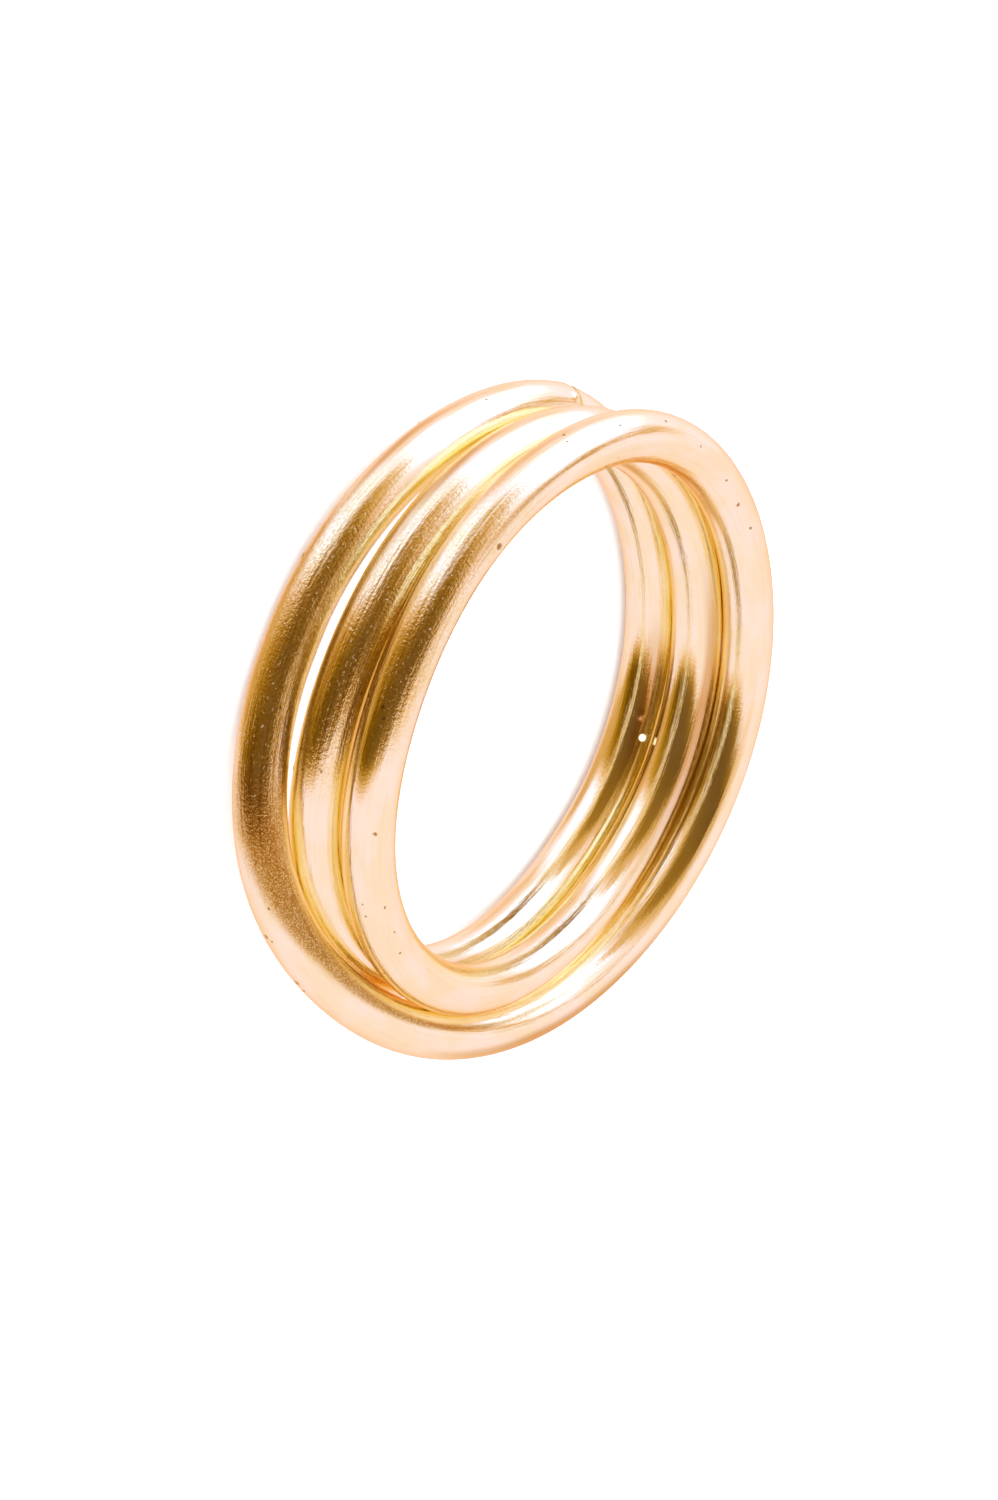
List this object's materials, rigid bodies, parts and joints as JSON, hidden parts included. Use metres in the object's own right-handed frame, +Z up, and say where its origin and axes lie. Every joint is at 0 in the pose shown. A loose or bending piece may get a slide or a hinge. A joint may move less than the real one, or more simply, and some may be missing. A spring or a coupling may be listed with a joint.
{
  "type": "stackable ring",
  "caption": "Open finger ring wound from one round gold wire, with a looser turn that crosses over the outside of the snug ones, lying on its side.",
  "frame": {"origin": "on the surface that the ring lies on, under the middle of its outline", "axes": "+Z up along the finger hole, -Y towards the side where the loose turn crosses over, the cut ends of the wire on the +Y side"},
  "size_m": [0.022, 0.0216, 0.0052],
  "materials": {
    "gold_wire": "drawn gold wire, worn satin polish with fine lines along it"
  },
  "bodies": {
    "root": {"wire_coil": "gold_wire"}
  },
  "joints": []
}
